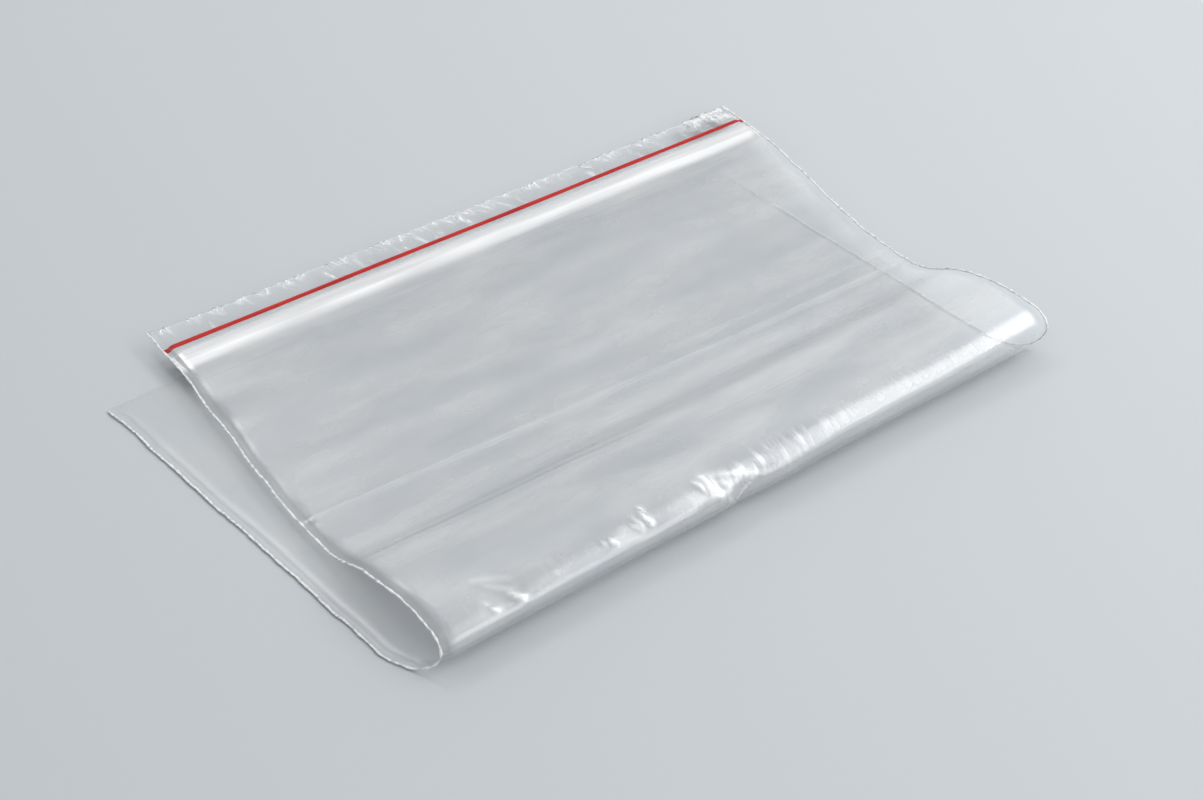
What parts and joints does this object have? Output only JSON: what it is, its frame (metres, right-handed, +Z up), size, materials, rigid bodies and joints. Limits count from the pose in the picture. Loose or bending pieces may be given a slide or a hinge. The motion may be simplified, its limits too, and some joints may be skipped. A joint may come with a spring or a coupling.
{
  "type": "zipper bag",
  "caption": "Clear plastic press-seal bag with a red line beside its zipper, empty, closed, folded over in half and lying flat on its lower leaf.",
  "frame": {"origin": "under the middle of the folded bag's box, on the surface that it lies on", "axes": "+X along the zipper, towards the end away from the fanned-out corner; +Y from the fold to the mouth; +Z up"},
  "size_m": [0.2656, 0.182, 0.0164],
  "materials": {
    "film": "clear, faintly milky blown low-density polyethylene film, glossy with soft creases",
    "zipper": "milky drawn low-density polyethylene profile",
    "red_line": "red pigmented polyethylene line"
  },
  "bodies": {
    "root": {"bag_film": "film", "zipper_groove_strip": "zipper", "zipper_rib_strip": "zipper", "red_line": "red_line"}
  },
  "joints": []
}
